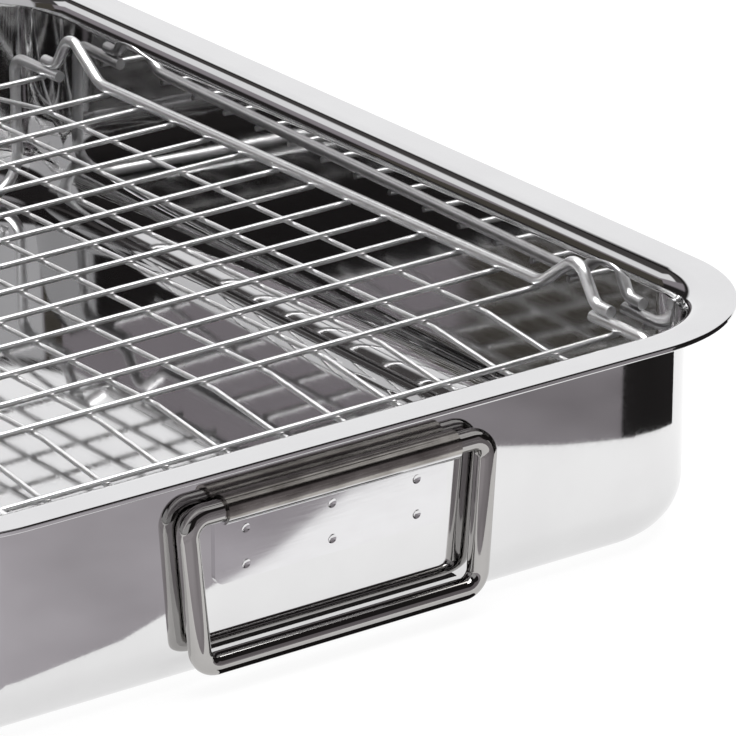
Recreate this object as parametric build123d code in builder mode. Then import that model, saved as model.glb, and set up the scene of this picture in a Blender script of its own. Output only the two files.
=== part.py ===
from build123d import *
import os
from math import cos, radians, sin, tan

os.makedirs("parts", exist_ok=True)

# Roasting pan with rack, in millimetres.
# +X runs along the pan towards its front handle, +Y across it, +Z up.
# The origin is under the middle of the pan, on the surface that it stands on.

# Pan, drawn from one sheet
pan_length = 364.0
pan_width = 270.0
pan_height = 60.0
sheet = 0.7
rim_flat = 7.5
rim_corner_radius = 44.5
lip_radius = 5.8
floor_radius = 13.7
wall_draft = 1.0
hem_width = 4.0
hem_edge_radius = 0.5

# Rack wires, and the room around the rack, which stands a little askew in the pan
rail_wire = 3.2
cross_wire = 1.6
long_wire = 1.4
rack_end_gap = 23.1
rack_left_gap = 44.8
rack_right_gap = 6.4
rack_below_rim = 16.1
rack_turn_angle = 1.2
weld_depth = 0.05

# Grid of the rack
cross_count = 15
end_cross_pitches = 2
end_cross_to_leg = 14.4
cross_overhang = 0.9
long_count = 10
long_to_rail = 18.45
long_overhang = 4.5
drop_run = 4.0
drop_bend_radius = 7.0

# Lifting hump near each end of a side rail
hump_rise_run = 15.0
hump_fall_run = 7.0
hump_apex = 11.0
hump_foot = 6.0
hump_start_radius = 8.0
hump_apex_radius = 4.5
hump_foot_radius = 4.0

# Leg frame at each end of the rack
rail_end_to_leg = 16.0
leg_lap = 7.5
leg_shoulder_radius = 4.5
leg_foot_radius = 12.0
leg_floor_gap = 0.1

# Folding handles: a wire bail held in a rolled sheet bracket
bail_rod = 5.5
bail_top_width = 86.0
bail_side_taper = 3.2
bail_floor_gap = 5.3
bail_bend_radius = 4.6
bail_clearance = 0.1
bail_side_play = 9.75
bracket_sheet = 0.8
bracket_drop = 20.5
bracket_corner_radius = 2.5
bracket_axis_below_rim = 13.8
roll_angle = 316.0
weld_columns = 3
weld_rows = 2
weld_side_margin = 8.75
weld_top_margin = 7.8
weld_bottom_margin = 3.6
weld_ball_radius = 2.2
weld_depression = 0.35

# Heights and places that follow from the sizes above
draft_slope = tan(radians(wall_draft))
rim_underside = pan_height - sheet
wall_inset = rim_flat + lip_radius
wall_length = pan_length - 2 * wall_inset
wall_width = pan_width - 2 * wall_inset
wall_corner_radius = rim_corner_radius - wall_inset
outer_shrink = pan_height * draft_slope - sheet
inner_shrink = (pan_height - sheet) * draft_slope
cross_height = pan_height - rack_below_rim
rail_height = cross_height + (rail_wire + cross_wire) / 2 - weld_depth
arm_height = rail_height - rail_wire + weld_depth
end_cross_height = arm_height - (rail_wire + cross_wire) / 2 + weld_depth
wire_step = (cross_wire + long_wire) / 2 - weld_depth
rail_spacing = wall_width - rack_left_gap - rack_right_gap - rail_wire
rail_offset = rail_spacing / 2
rack_side_shift = (rack_left_gap - rack_right_gap) / 2
leg_reach = (wall_length - rail_wire) / 2 - rack_end_gap
rail_end = leg_reach - rail_end_to_leg
hump_end = rail_end - hump_foot
hump_peak = hump_end - hump_fall_run
hump_start = hump_peak - hump_rise_run
regular_cross_count = cross_count - 2
end_cross = leg_reach - end_cross_to_leg
cross_pitch = end_cross / ((regular_cross_count - 1) / 2 + end_cross_pitches)
last_regular_cross = end_cross - end_cross_pitches * cross_pitch
long_pitch = (rail_spacing - 2 * long_to_rail) / (long_count - 1)
bracket_width = bail_top_width - 2 * bail_side_play
bracket_axis_height = pan_height - bracket_axis_below_rim
bail_drop = bracket_axis_height - bail_floor_gap - bail_rod / 2


def finish(piece, name):
    """Label a finished piece and write it."""
    piece.part.label = name
    export_step(piece.part, f"parts/{name}.step")


def tub_form(shrink, base, radius):
    """Solid tapered form of the tub from its base up to the rim, with a rounded bottom edge."""
    with BuildPart() as form:
        with BuildSketch(Plane.XY.offset(base)):
            RectangleRounded(
                wall_length - 2 * shrink,
                wall_width - 2 * shrink,
                wall_corner_radius - shrink,
            )
        extrude(amount=pan_height - base, taper=-wall_draft)
        fillet(form.edges().group_by(Axis.Z)[0], radius)
    return form.part


# Pan body: tapered tub, flat rim, hemmed edge
with BuildPart() as pan_body:
    add(tub_form(outer_shrink, 0, floor_radius + sheet))
    with BuildSketch(Plane.XY.offset(rim_underside)):
        RectangleRounded(pan_length, pan_width, rim_corner_radius)
    extrude(amount=sheet)
    under_rim = pan_body.faces().filter_by(Axis.Z).group_by(Axis.Z)[1].face()
    fillet(under_rim.inner_wires()[0].edges(), lip_radius - sheet)
    add(tub_form(inner_shrink, sheet, floor_radius), mode=Mode.SUBTRACT)
    rim_top = pan_body.faces().filter_by(Axis.Z).group_by(Axis.Z)[-1].face()
    fillet(rim_top.inner_wires()[0].edges(), lip_radius)
    with BuildSketch(Plane.XY.offset(rim_underside - sheet)):
        RectangleRounded(pan_length, pan_width, rim_corner_radius)
        RectangleRounded(
            pan_length - 2 * hem_width,
            pan_width - 2 * hem_width,
            rim_corner_radius - hem_width,
            mode=Mode.SUBTRACT,
        )
    extrude(amount=sheet)
    flat_faces = pan_body.faces().filter_by(Axis.Z).group_by(Axis.Z)
    hem_edges = flat_faces[-1].face().outer_wire().edges()
    hem_edges += flat_faces[2].face().outer_wire().edges()
    fillet(hem_edges, hem_edge_radius)
finish(pan_body, "pan_body")


# Handle brackets: a plate spot-welded to each end wall, its top edge rolled into a sleeve
roll_inner_radius = bail_rod / 2 + bail_clearance
roll_outer_radius = roll_inner_radius + bracket_sheet
wall_normal = Vector(cos(radians(wall_draft)), 0, -sin(radians(wall_draft)))
bracket_wall_height = bracket_axis_height - roll_outer_radius * wall_normal.Z
bracket_wall_reach = wall_length / 2 + sheet - (pan_height - bracket_wall_height) * draft_slope
bracket_root = Vector(bracket_wall_reach, 0, bracket_wall_height)
bail_axis = bracket_root + wall_normal * roll_outer_radius
plate_plane = Plane(origin=bracket_root, x_dir=(0, 1, 0), z_dir=wall_normal)
side_plane = Plane(origin=bracket_root, x_dir=wall_normal, z_dir=(0, -1, 0))

with BuildPart() as bracket_front:
    with BuildSketch(plate_plane) as plate_face:
        with Locations((0, -bracket_drop / 2)):
            Rectangle(bracket_width, bracket_drop)
        fillet(plate_face.vertices().group_by(Axis.Z)[0], bracket_corner_radius)
    extrude(amount=bracket_sheet)
    with BuildSketch(side_plane):
        with BuildLine():
            CenterArc(
                (roll_outer_radius, 0),
                roll_outer_radius - bracket_sheet / 2,
                start_angle=180,
                arc_size=-roll_angle,
            )
        trace(line_width=bracket_sheet)
    extrude(amount=bracket_width / 2, both=True)
    weld_face = plate_plane.offset(bracket_sheet + weld_ball_radius - weld_depression)
    weld_width = bracket_width - 2 * weld_side_margin
    weld_height = bracket_drop - weld_top_margin - weld_bottom_margin
    weld_column_pitch = weld_width / (weld_columns - 1)
    weld_row_pitch = weld_height / (weld_rows - 1)
    with Locations(weld_face):
        with Locations((0, -weld_top_margin - weld_height / 2)):
            with GridLocations(weld_column_pitch, weld_row_pitch, weld_columns, weld_rows):
                Sphere(weld_ball_radius, mode=Mode.SUBTRACT)
finish(bracket_front, "handle_bracket_front")

with BuildPart() as bracket_rear:
    add(mirror(bracket_front.part, about=Plane.YZ))
finish(bracket_rear, "handle_bracket_rear")


# Bails: closed loops of rod that hang from their sleeves
def bail_loop(reach):
    """Closed bail in the plane across the pan at the given reach."""
    top_corner = bail_top_width / 2
    bottom_corner = top_corner - bail_side_taper
    with BuildPart() as bail:
        with BuildLine(Plane.YZ.offset(reach)) as half:
            FilletPolyline(
                (0, bail_axis.Z),
                (top_corner, bail_axis.Z),
                (bottom_corner, bail_axis.Z - bail_drop),
                (0, bail_axis.Z - bail_drop),
                radius=bail_bend_radius,
            )
        with BuildSketch(Plane(origin=half.line @ 0, z_dir=half.line % 0)):
            Circle(bail_rod / 2)
        sweep(path=half.line)
        mirror(about=Plane.XZ)
    return bail


finish(bail_loop(bail_axis.X), "bail_handle_front")
finish(bail_loop(-bail_axis.X), "bail_handle_rear")


# Rack: every wire is placed in the rack's own frame, over its middle
rack_facing = (cos(radians(rack_turn_angle)), sin(radians(rack_turn_angle)), 0)
rack_plane = Plane(origin=(0, rack_side_shift, 0), x_dir=rack_facing, z_dir=(0, 0, 1))


def wire(path_points, radii, diameter):
    """Bent wire along straight runs joined by arcs, its points in the rack's frame."""
    with BuildPart() as bent:
        with BuildLine(rack_plane) as run:
            FilletPolyline(*path_points, radius=radii)
        with BuildSketch(Plane(origin=run.line @ 0, z_dir=run.line % 0)):
            Circle(diameter / 2)
        sweep(path=run.line)
    return bent


def cross_rod(station, height, reach):
    """Straight wire across the rack."""
    across = Plane(
        origin=rack_plane.from_local_coords((station, 0, height)),
        x_dir=rack_plane.x_dir,
        z_dir=rack_plane.y_dir,
    )
    with BuildPart() as rod:
        with BuildSketch(across):
            Circle(cross_wire / 2)
        extrude(amount=reach, both=True)
    return rod


half_rail = [
    (hump_start, 0),
    (hump_peak, hump_apex),
    (hump_end, 0),
    (rail_end, 0),
]
rail_profile = [(-x, z) for x, z in reversed(half_rail)] + half_rail
hump_radii = [hump_start_radius, hump_apex_radius, hump_foot_radius]
rail_radii = hump_radii[::-1] + hump_radii
for name, side in (("left", -1), ("right", 1)):
    rail_points = [(x, side * rail_offset, rail_height + z) for x, z in rail_profile]
    finish(wire(rail_points, rail_radii, rail_wire), f"rack_side_rail_{name}")

foot_height = sheet + leg_floor_gap + rail_wire / 2
half_frame = [
    (rail_end - leg_lap, rail_offset, arm_height),
    (leg_reach, rail_offset, arm_height),
    (leg_reach, rail_offset, foot_height),
]
frame_profile = half_frame + [(x, -y, z) for x, y, z in reversed(half_frame)]
half_frame_radii = [leg_shoulder_radius, leg_foot_radius]
frame_radii = half_frame_radii + half_frame_radii[::-1]
for name, end in (("front", 1), ("rear", -1)):
    frame_points = [(end * x, y, z) for x, y, z in frame_profile]
    finish(wire(frame_points, frame_radii, rail_wire), f"rack_leg_frame_{name}")

cross_reach = rail_offset + cross_overhang
for number in range(cross_count):
    if number in (0, cross_count - 1):
        station = end_cross if number else -end_cross
        height = end_cross_height
    else:
        station = (number - 1) * cross_pitch - last_regular_cross
        height = cross_height
    finish(cross_rod(station, height, cross_reach), f"rack_cross_wire_{number + 1:02d}")

level_reach = last_regular_cross + drop_run
low_reach = end_cross - drop_run
tip_reach = end_cross + long_overhang
half_long = [
    (level_reach, cross_height - wire_step),
    (low_reach, end_cross_height - wire_step),
    (tip_reach, end_cross_height - wire_step),
]
long_profile = [(-x, z) for x, z in reversed(half_long)] + half_long
long_radii = [drop_bend_radius] * (len(long_profile) - 2)
for number in range(long_count):
    line = (number - (long_count - 1) / 2) * long_pitch
    long_points = [(x, line, z) for x, z in long_profile]
    finish(wire(long_points, long_radii, long_wire), f"rack_long_wire_{number + 1:02d}")
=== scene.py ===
import math

import bpy
from mathutils import Matrix, Vector


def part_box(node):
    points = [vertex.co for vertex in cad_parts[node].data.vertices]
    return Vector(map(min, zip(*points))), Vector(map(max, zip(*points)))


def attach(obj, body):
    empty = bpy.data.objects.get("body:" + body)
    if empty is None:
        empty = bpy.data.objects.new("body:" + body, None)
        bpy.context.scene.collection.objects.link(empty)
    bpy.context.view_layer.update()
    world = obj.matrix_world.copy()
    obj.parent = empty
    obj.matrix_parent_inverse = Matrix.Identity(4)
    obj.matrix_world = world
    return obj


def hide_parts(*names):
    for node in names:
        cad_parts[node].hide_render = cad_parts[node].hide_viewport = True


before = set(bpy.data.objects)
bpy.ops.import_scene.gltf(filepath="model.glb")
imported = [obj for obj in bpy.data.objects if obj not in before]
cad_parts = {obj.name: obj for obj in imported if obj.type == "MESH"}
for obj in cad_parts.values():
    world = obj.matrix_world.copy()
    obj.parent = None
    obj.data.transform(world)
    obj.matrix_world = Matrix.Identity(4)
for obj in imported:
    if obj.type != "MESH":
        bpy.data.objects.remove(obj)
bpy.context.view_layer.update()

# Everything is in metres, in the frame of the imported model. Small sizes are in millimetres times mm.
mm = 0.001

# Camera, fitted to the photograph: its azimuth is from +X towards +Y, and its drop is below level
camera_place = Vector((1203.94, -717.16, 566.48)) * mm
camera_azimuth_deg = 144.857
camera_drop_deg = 21.435
camera_roll_deg = -0.722
camera_lens = 284.28
camera_sensor = 36.0
camera_clip_start = 0.05
camera_clip_end = 50.0

# Pan profile, the same sizes as the solid that the pan stands for
sheet = 0.7 * mm
rim_flat = 7.5 * mm
rim_corner_radius = 44.5 * mm
lip_radius = 5.8 * mm
rim_reach = rim_flat + lip_radius
floor_radius = 13.7 * mm
wall_draft_deg = 1.0
hem_width = 4.0 * mm
hem_edge_radius = 0.5 * mm
hem_end_radius = 0.15 * mm
floor_margin = 3.0 * mm
corner_steps = 28
bend_step_deg = 6.0
bend_least_steps = 3

# Height on the handle brackets where the plate ends and the rolled sleeve begins
sleeve_seam = 44.8 * mm
sleeve_seam_soft = 0.3 * mm

# Detail of the noise in the materials, from slow waves to fine clouds
wave_detail = 1.0
mark_detail = 3.0
cloud_detail = 4.0

# Colours of the studio
studio_dark = (0.022, 0.020, 0.020)
studio_deep = (0.012, 0.011, 0.011)
mauve_light = (0.56, 0.53, 0.56)
mauve_deep = (0.17, 0.155, 0.165)
board_light = (0.075, 0.068, 0.058)
board_dark = (0.06, 0.055, 0.045)

# Surroundings that the steel mirrors. Each patch has a range of azimuths, counted from the camera's forward
# towards its left, a range of elevations, the softness of its edges along both, all in degrees, and a colour.
studio_patches = (
    ("left side", (34.0, 110.0), (13.0, 26.0), (3.0, 4.0), (0.29, 0.265, 0.285)),
    ("left upper side", (34.0, 110.0), (26.0, 46.0), (3.0, 3.0), (0.07, 0.065, 0.065)),
    ("left softbox", (46.0, 72.0), (25.0, 37.0), (3.0, 2.0), (0.90, 0.90, 0.91)),
    ("near left side", (110.0, 173.0), (1.0, 34.0), (4.0, 4.0), (0.60, 0.60, 0.61)),
    ("front side", (-150.0, -98.0), (-90.0, 24.0), (4.0, 4.0), (0.24, 0.22, 0.235)),
    ("far wall", (-42.0, 27.0), (-90.0, 40.0), (4.0, 3.0), (1.05, 1.05, 1.06)),
    ("ceiling", (-200.0, 200.0), (64.0, 95.0), (2.0, 6.0), (0.34, 0.33, 0.34)),
)

# Floor that the pan stands on
floor_half = 6.0
floor_gap = 0.05 * mm
floor_glow = 0.92
floor_light = (0.12, 0.12, 0.12)
floor_pale = (0.13, 0.13, 0.13)
floor_grain_scale = 40.0
floor_roughness = 0.9
floor_specular = 0.1

# Lamp over the pan
lamp_place = Vector((0.1, 0.0, 1.6))
lamp_size = 2.0
lamp_power = 54.0

# Cards that only mirrors see, with their places in millimetres. The far floor is the mauve floor in front
# of the pan, the handle shade lies under the hanging bail, the corner board bends round the front right
# corner, and the left board stands upright across its heading.
far_floor_edge = (
    (194, -420), (196, -70), (201, -38), (213, -6), (222, 18), (238, 47), (243, 57), (250, 90), (240, 108),
    (234, 118), (230, 128), (226, 140),
)
far_floor_back = ((2500, 3500), (2500, -2500))
handle_shade_corners = ((171, -33), (182, -33), (182, 44), (171, 44))
handle_shade_height = 0.02
corner_board_foot = (
    (228.4, 133.5), (228, 137.2), (220.9, 147.1), (212.7, 156), (203.3, 163.6), (193.2, 170),
    (182.5, 174.9), (171.2, 178.4), (159.8, 180.3),
)
corner_board_height = 240
left_board_heading_deg = 215.0
left_board_distance = 700.0
left_board_across = (-320.0, 42.0)
left_board_heights = (120.0, 400.0)

# Change of colour over a card, along Y and in clouds
card_shift_start = -60 * mm
card_shift_end = 130 * mm
card_shift_share = 0.7
card_cloud_scale = 14.0
card_cloud_low = -0.15
card_cloud_high = 0.3


def direction(azimuth_deg, elevation_deg):
    """Unit vector at an azimuth from +X towards +Y and an elevation above the floor."""
    azimuth, elevation = math.radians(azimuth_deg), math.radians(elevation_deg)
    level = math.cos(elevation)
    return Vector((level * math.cos(azimuth), level * math.sin(azimuth), math.sin(elevation)))


def make_camera():
    """Camera at the photograph's place, angle and focal length."""
    forward = direction(camera_azimuth_deg, -camera_drop_deg)
    level_right = direction(camera_azimuth_deg - 90, 0)
    turn = Matrix.Rotation(math.radians(camera_roll_deg), 3, -forward)
    right = turn @ level_right
    up = right.cross(forward)
    data = bpy.data.cameras.new("photo_camera")
    data.lens = camera_lens
    data.sensor_width = camera_sensor
    data.clip_start = camera_clip_start
    data.clip_end = camera_clip_end
    camera = bpy.data.objects.new("photo_camera", data)
    bpy.context.scene.collection.objects.link(camera)
    axes = Matrix((right, up, -forward)).transposed().to_4x4()
    camera.matrix_world = Matrix.Translation(camera_place) @ axes
    bpy.context.scene.camera = camera


# Material helpers
def new_material(name):
    """Empty node material with its shader and output."""
    material = bpy.data.materials.new(name)
    material.use_nodes = True
    tree = material.node_tree
    tree.nodes.clear()
    output = tree.nodes.new("ShaderNodeOutputMaterial")
    shader = tree.nodes.new("ShaderNodeBsdfPrincipled")
    tree.links.new(shader.outputs["BSDF"], output.inputs["Surface"])
    return material, tree, shader


def even(scale):
    """The same scale along all three axes."""
    return (scale, scale, scale)


def noise(tree, scale, detail):
    """Noise over the object's own coordinates, with scale in features per metre along each axis."""
    place = tree.nodes.new("ShaderNodeTexCoord")
    mapping = tree.nodes.new("ShaderNodeMapping")
    mapping.inputs["Scale"].default_value = scale
    tree.links.new(place.outputs["Object"], mapping.inputs["Vector"])
    node = tree.nodes.new("ShaderNodeTexNoise")
    node.inputs["Scale"].default_value = 1.0
    node.inputs["Detail"].default_value = detail
    tree.links.new(mapping.outputs["Vector"], node.inputs["Vector"])
    return node.outputs["Fac"]


def remap(tree, value, low, high, from_low=0.3, from_high=0.7):
    """Value spread from one range to another. The first is what noise mostly fills, unless it is given."""
    node = tree.nodes.new("ShaderNodeMapRange")
    node.inputs["From Min"].default_value = from_low
    node.inputs["From Max"].default_value = from_high
    node.inputs["To Min"].default_value = low
    node.inputs["To Max"].default_value = high
    tree.links.new(value, node.inputs["Value"])
    return node.outputs["Result"]


def math_node(tree, operation, first, second=0.0, clamp=False):
    """Result of one sum over two values or sockets."""
    node = tree.nodes.new("ShaderNodeMath")
    node.operation = operation
    node.use_clamp = clamp
    for socket, value in zip(node.inputs, (first, second)):
        if isinstance(value, float):
            socket.default_value = value
        else:
            tree.links.new(value, socket)
    return node.outputs["Value"]


def own_coordinate(tree, axis):
    """Socket with the object's own coordinate along an axis."""
    place = tree.nodes.new("ShaderNodeTexCoord")
    split = tree.nodes.new("ShaderNodeSeparateXYZ")
    tree.links.new(place.outputs["Object"], split.inputs["Vector"])
    return split.outputs[axis]


def colour_between(tree, factor, first, second):
    """Colour mixed from first to second by a factor."""
    node = tree.nodes.new("ShaderNodeMix")
    node.data_type = "RGBA"
    node.inputs["A"].default_value = (*first, 1.0)
    node.inputs["B"].default_value = (*second, 1.0)
    tree.links.new(factor, node.inputs["Factor"])
    return node.outputs["Result"]


def socket_between(tree, kind, factor, first, second):
    """Socket mixed from one socket to another by a factor, of the kind FLOAT or RGBA."""
    node = tree.nodes.new("ShaderNodeMix")
    node.data_type = kind
    for value, name in ((factor, "Factor"), (first, "A"), (second, "B")):
        tree.links.new(value, node.inputs[name])
    return node.outputs["Result"]


def bump(tree, height, distance, below=None):
    """Bump of a real height in metres, laid over another bump where one is given."""
    node = tree.nodes.new("ShaderNodeBump")
    node.inputs["Strength"].default_value = 1.0
    node.inputs["Distance"].default_value = distance
    tree.links.new(height, node.inputs["Height"])
    if below is not None:
        tree.links.new(below, node.inputs["Normal"])
    return node.outputs["Normal"]


def steel(name, light, dark, gloss, wave_scale, wave_height, mark_scale, mark_height):
    """Polished metal: slow waves, fine polishing marks, and a roughness that varies with the marks."""
    cloud_scale = 60.0
    material, tree, shader = new_material(name)
    shader.inputs["Metallic"].default_value = 1.0
    cloud = noise(tree, even(cloud_scale), cloud_detail)
    tree.links.new(colour_between(tree, cloud, light, dark), shader.inputs["Base Color"])
    marks = noise(tree, mark_scale, mark_detail)
    tree.links.new(remap(tree, marks, *gloss), shader.inputs["Roughness"])
    waves = bump(tree, noise(tree, even(wave_scale), wave_detail), wave_height)
    tree.links.new(bump(tree, marks, mark_height, waves), shader.inputs["Normal"])
    return material


def sleeve_steel(name, plate, sleeve, plate_gloss, sleeve_gloss):
    """Bracket metal: a polished plate below the seam, and above it a sleeve brushed lengthwise, painted
    darker as shade and reflection from under the rim.
    """
    grain_scale = (2600.0, 90.0, 2600.0)
    grain_height = 0.0008 * mm
    cloud_scale = (260.0, 110.0, 260.0)
    wave_scale = 45.0
    wave_height = 0.02 * mm
    material, tree, shader = new_material(name)
    shader.inputs["Metallic"].default_value = 1.0
    seam_low, seam_high = sleeve_seam - sleeve_seam_soft, sleeve_seam + sleeve_seam_soft
    above = remap(tree, own_coordinate(tree, "Z"), 0.0, 1.0, seam_low, seam_high)
    grain = noise(tree, grain_scale, mark_detail)
    cloud = noise(tree, cloud_scale, cloud_detail)
    plate_colour = colour_between(tree, cloud, *plate)
    # The sleeve's darker colour is painted shade and reflection from under the rim; its mottling is its own
    # tone.
    sleeve_colour_and_shade = colour_between(tree, remap(tree, cloud, 0.0, 1.0), *sleeve)
    colour = socket_between(tree, "RGBA", above, plate_colour, sleeve_colour_and_shade)
    tree.links.new(colour, shader.inputs["Base Color"])
    low = remap(tree, grain, *plate_gloss)
    high = remap(tree, grain, *sleeve_gloss)
    tree.links.new(socket_between(tree, "FLOAT", above, low, high), shader.inputs["Roughness"])
    waves = bump(tree, noise(tree, even(wave_scale), wave_detail), wave_height)
    lines = math_node(tree, "MULTIPLY", grain, above)
    tree.links.new(bump(tree, lines, grain_height, waves), shader.inputs["Normal"])
    return material


# Pan body
def filleted_profile(corners):
    """Points and outward normals of an open outline whose corners are rounded by their radii."""
    points = []
    for index, (place, radius) in enumerate(corners):
        here = Vector(place)
        if radius == 0:
            other = Vector(corners[index + 1][0] if index == 0 else corners[index - 1][0])
            run = (other - here if index == 0 else here - other).normalized()
            points.append((here, Vector((-run.y, run.x))))
            continue
        before = (here - Vector(corners[index - 1][0])).normalized()
        after = (Vector(corners[index + 1][0]) - here).normalized()
        turn = before.angle_signed(after)
        reach = radius * math.tan(abs(turn) / 2)
        start = here - before * reach
        side = -1 if turn > 0 else 1
        centre = start + Vector((-before.y, before.x)) * radius * side
        steps = max(bend_least_steps, math.ceil(math.degrees(abs(turn)) / bend_step_deg))
        for step in range(steps + 1):
            angle = -turn * step / steps
            run = Vector((
                before.x * math.cos(angle) - before.y * math.sin(angle),
                before.x * math.sin(angle) + before.y * math.cos(angle),
            ))
            normal = Vector((-run.y, run.x))
            points.append((centre - normal * radius * side, normal))
    return points


def rounded_loop(half_x, half_y, radius):
    """Points of a rounded rectangle, each with its outward direction, counterclockwise."""
    loop = []
    for quarter, (sign_x, sign_y) in enumerate(((1, 1), (-1, 1), (-1, -1), (1, -1))):
        centre = Vector((sign_x * (half_x - radius), sign_y * (half_y - radius)))
        for step in range(corner_steps + 1):
            angle = math.pi / 2 * (quarter + step / corner_steps)
            out = Vector((math.cos(angle), math.sin(angle)))
            loop.append((centre + out * radius, out))
    return loop


def pan_profile(height):
    """Outline of the pan's sheet, as offset from the wall's top line and height."""
    slope = math.tan(math.radians(wall_draft_deg))
    rim_under = height - sheet
    hem_under = rim_under - sheet
    inner_base = -(height - sheet) * slope
    outer_base = sheet - height * slope
    floor_start = inner_base - floor_radius - floor_margin
    return filleted_profile([
        ((floor_start, sheet), 0),
        ((inner_base, sheet), floor_radius),
        ((0, height), lip_radius),
        ((rim_reach, height), hem_edge_radius),
        ((rim_reach, hem_under), hem_edge_radius),
        ((rim_reach - hem_width, hem_under), hem_end_radius),
        ((rim_reach - hem_width, rim_under), hem_end_radius),
        ((sheet - sheet * slope, rim_under), lip_radius - sheet),
        ((outer_base, 0), floor_radius + sheet),
        ((floor_start, 0), 0),
    ])


def make_pan():
    """Pan body: the sheet's outline carried round the rounded rectangle, with true normals."""
    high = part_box("pan_body")[1]
    half_x = high.x - rim_reach
    half_y = high.y - rim_reach
    radius = rim_corner_radius - rim_reach
    profile = pan_profile(high.z)
    vertices, normals = [], []
    for place, normal in profile:
        for spot, out in rounded_loop(half_x + place.x, half_y + place.x, radius + place.x):
            vertices.append((spot.x, spot.y, place.y))
            normals.append((out.x * normal.x, out.y * normal.x, normal.y))
    count = len(vertices) // len(profile)
    faces = [tuple(range(count))]
    for ring in range(len(profile) - 1):
        for step in range(count):
            following = (step + 1) % count
            faces.append((
                ring * count + step,
                (ring + 1) * count + step,
                (ring + 1) * count + following,
                ring * count + following,
            ))
    last = (len(profile) - 1) * count
    faces.append(tuple(last + step for step in reversed(range(count))))
    mesh = bpy.data.meshes.new("pan_sheet")
    mesh.from_pydata(vertices, [], faces)
    mesh.validate()
    mesh.shade_smooth()
    mesh.normals_split_custom_set_from_vertices(normals)
    piece = bpy.data.objects.new("pan_sheet", mesh)
    bpy.context.scene.collection.objects.link(piece)
    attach(piece, "pan")
    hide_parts("pan_body")
    return piece


# Studio
def between(tree, value, low, high, soft):
    """One inside a range of a value and nothing outside it, with soft ends."""
    rise = math_node(tree, "MULTIPLY", math_node(tree, "SUBTRACT", value, low - soft / 2), 1 / soft, True)
    fall = math_node(tree, "MULTIPLY", math_node(tree, "SUBTRACT", high + soft / 2, value), 1 / soft, True)
    return math_node(tree, "MULTIPLY", rise, fall)


def make_floor():
    """Plain pale floor."""
    mesh = bpy.data.meshes.new("studio_floor")
    signs = ((-1, -1), (1, -1), (1, 1), (-1, 1))
    corners = [(sign_x * floor_half, sign_y * floor_half, 0) for sign_x, sign_y in signs]
    mesh.from_pydata(corners, [], [(0, 1, 2, 3)])
    floor = bpy.data.objects.new("studio_floor", mesh)
    bpy.context.scene.collection.objects.link(floor)
    floor.location.z = -floor_gap
    material, tree, shader = new_material("studio_floor")
    grain = noise(tree, even(floor_grain_scale), mark_detail)
    tree.links.new(colour_between(tree, grain, floor_light, floor_pale), shader.inputs["Base Color"])
    shader.inputs["Roughness"].default_value = floor_roughness
    shader.inputs["Specular IOR Level"].default_value = floor_specular
    shader.inputs["Emission Color"].default_value = (1.0, 1.0, 1.0, 1.0)
    shader.inputs["Emission Strength"].default_value = floor_glow
    mesh.materials.append(material)


def make_world():
    """Surroundings that the steel mirrors, laid out by azimuth from the camera's forward and elevation."""
    world = bpy.data.worlds.new("studio")
    bpy.context.scene.world = world
    world.use_nodes = True
    tree = world.node_tree
    tree.nodes.clear()
    output = tree.nodes.new("ShaderNodeOutputWorld")
    background = tree.nodes.new("ShaderNodeBackground")
    tree.links.new(background.outputs["Background"], output.inputs["Surface"])
    place = tree.nodes.new("ShaderNodeTexCoord")
    parts = []
    for axis in (direction(camera_azimuth_deg, 0), direction(camera_azimuth_deg + 90, 0), Vector((0, 0, 1))):
        aim = tree.nodes.new("ShaderNodeVectorMath")
        aim.operation = "DOT_PRODUCT"
        aim.inputs[1].default_value = axis
        tree.links.new(place.outputs["Generated"], aim.inputs[0])
        parts.append(aim.outputs["Value"])
    ahead, left, up = parts
    azimuth = math_node(tree, "DEGREES", math_node(tree, "ARCTAN2", left, ahead))
    elevation = math_node(tree, "DEGREES", math_node(tree, "ARCSINE", up))
    colour = None
    for name, azimuths, elevations, (side_soft, level_soft), shade in studio_patches:
        side = between(tree, azimuth, *azimuths, side_soft)
        mask = math_node(tree, "MULTIPLY", side, between(tree, elevation, *elevations, level_soft))
        mix = tree.nodes.new("ShaderNodeMix")
        mix.data_type = "RGBA"
        mix.label = name
        if colour is None:
            mix.inputs["A"].default_value = (*studio_dark, 1.0)
        else:
            tree.links.new(colour, mix.inputs["A"])
        mix.inputs["B"].default_value = (*shade, 1.0)
        tree.links.new(mask, mix.inputs["Factor"])
        colour = mix.outputs["Result"]
    tree.links.new(colour, background.inputs["Color"])
    background.inputs["Strength"].default_value = 1.0


def glowing(name, first, second):
    """Material that gives off a slowly changing colour, from the first at low Y to the second at high Y."""
    material = bpy.data.materials.new(name)
    material.use_nodes = True
    tree = material.node_tree
    tree.nodes.clear()
    glow = tree.nodes.new("ShaderNodeEmission")
    across = remap(tree, own_coordinate(tree, "Y"), 0.0, card_shift_share, card_shift_start, card_shift_end)
    clouds = noise(tree, even(card_cloud_scale), mark_detail)
    blend = math_node(tree, "ADD", across, remap(tree, clouds, card_cloud_low, card_cloud_high), True)
    tree.links.new(colour_between(tree, blend, first, second), glow.inputs["Color"])
    output = tree.nodes.new("ShaderNodeOutputMaterial")
    tree.links.new(glow.outputs["Emission"], output.inputs["Surface"])
    return material


def make_card(name, corners, first, second):
    """Glowing card that only mirrors see, with its corners in millimetres."""
    mesh = bpy.data.meshes.new(name)
    mesh.from_pydata([tuple(Vector(corner) * mm) for corner in corners], [], [tuple(range(len(corners)))])
    piece = bpy.data.objects.new(name, mesh)
    bpy.context.scene.collection.objects.link(piece)
    mesh.materials.append(glowing(name, first, second))
    piece.visible_camera = False
    piece.visible_diffuse = False
    piece.visible_shadow = False


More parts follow.
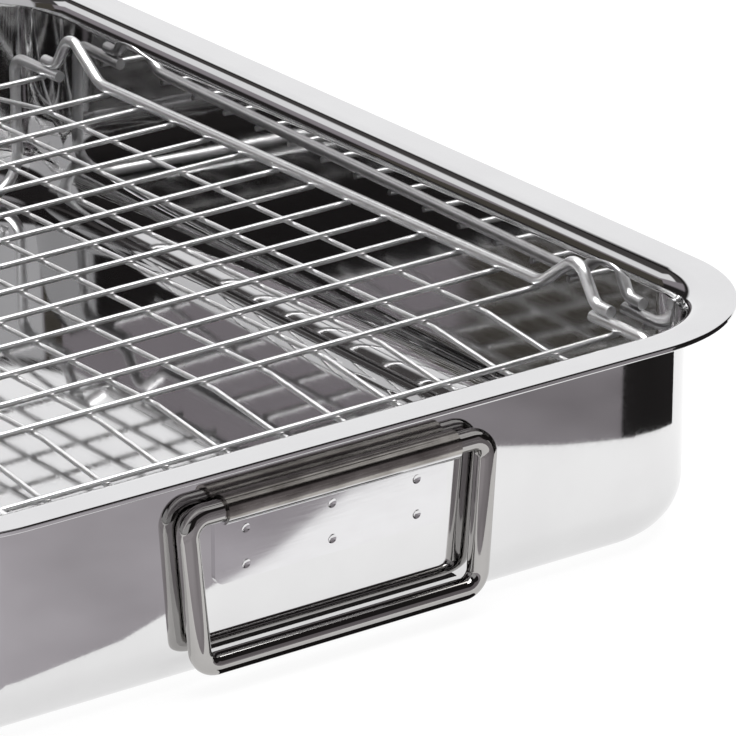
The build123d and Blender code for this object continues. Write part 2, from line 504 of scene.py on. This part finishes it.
def make_cards():
    """The far floor, the shade under the bail, the board round the corner and the board at the left."""
    far_floor = [(*place, 0) for place in (*far_floor_edge, *far_floor_back)]
    make_card("far_floor", far_floor, mauve_light, mauve_deep)
    handle_shade = [(*place, handle_shade_height) for place in handle_shade_corners]
    make_card("handle_shade", handle_shade, studio_deep, studio_dark)
    for number, (start, end) in enumerate(zip(corner_board_foot, corner_board_foot[1:])):
        corners = [(*start, 0), (*end, 0), (*end, corner_board_height), (*start, corner_board_height)]
        make_card(f"corner_board_{number + 1}", corners, studio_dark, studio_deep)
    ahead = direction(left_board_heading_deg, 0) * left_board_distance
    side = direction(left_board_heading_deg - 90, 0)
    start, end = (ahead + side * place for place in left_board_across)
    bottom, top = (Vector((0, 0, height)) for height in left_board_heights)
    left_board = [start + bottom, start + top, end + top, end + bottom]
    make_card("left_board", left_board, board_light, board_dark)


def make_lamp(unlit):
    """Soft lamp over the pan, which leaves out the pieces in unlit, so that they don't mirror it."""
    data = bpy.data.lights.new("overhead_light", "AREA")
    data.shape = "DISK"
    data.size = lamp_size
    data.energy = lamp_power
    light = bpy.data.objects.new("overhead_light", data)
    bpy.context.scene.collection.objects.link(light)
    light.location = lamp_place
    light.rotation_mode = "QUATERNION"
    light.rotation_quaternion = (-lamp_place).to_track_quat("-Z", "Y")
    light.visible_camera = False
    receivers = bpy.data.collections.new("overhead_light_receivers")
    for piece in unlit:
        receivers.objects.link(piece)
    for entry in receivers.collection_objects:
        entry.light_linking.link_state = "EXCLUDE"
    light.light_linking.receiver_collection = receivers


bpy.context.scene.view_settings.view_transform = "Standard"
make_camera()
make_floor()
make_world()
make_cards()

# Finishes: colours as reflectances, gloss as the lowest and highest roughness, scales in features per metre
polished = steel(
    "polished_steel", light=(0.73, 0.73, 0.73), dark=(0.67, 0.665, 0.67), gloss=(0.03, 0.07),
    wave_scale=14, wave_height=0.03 * mm, mark_scale=(90, 1400, 1400), mark_height=0.0002 * mm)
# The bracket's sleeve colours are darker than its plate: painted shade and reflection from under the rim.
bracket_finish = sleeve_steel(
    "bracket_steel", plate=((0.74, 0.74, 0.75), (0.68, 0.67, 0.68)), plate_gloss=(0.07, 0.12),
    sleeve=((0.44, 0.42, 0.395), (0.22, 0.205, 0.19)), sleeve_gloss=(0.14, 0.24))
rod_finish = steel(
    "rod_steel", light=(0.46, 0.45, 0.44), dark=(0.36, 0.35, 0.34), gloss=(0.03, 0.08),
    wave_scale=60, wave_height=0.005 * mm, mark_scale=(900, 60, 900), mark_height=0.0003 * mm)
grid_finish = steel(
    "rack_grid_wire", light=(0.95, 0.95, 0.95), dark=(0.88, 0.88, 0.88), gloss=(0.28, 0.36),
    wave_scale=80, wave_height=0.004 * mm, mark_scale=even(300), mark_height=0.0004 * mm)
frame_finish = steel(
    "rack_frame_wire", light=(0.99, 0.99, 0.99), dark=(0.90, 0.90, 0.905), gloss=(0.30, 0.38),
    wave_scale=90, wave_height=0.006 * mm, mark_scale=even(420), mark_height=0.0012 * mm)

pan = make_pan()
pan.data.materials.append(polished)
make_lamp([pan])

# Finish of each node, by the start of its name
finishes = {
    "pan": polished,
    "handle": bracket_finish,
    "bail": rod_finish,
    "rack_side": frame_finish,
    "rack_leg": frame_finish,
    "rack_cross": grid_finish,
    "rack_long": grid_finish,
}
for name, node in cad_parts.items():
    finish = next(finish for start, finish in finishes.items() if name.startswith(start))
    node.data.materials.clear()
    node.data.materials.append(finish)
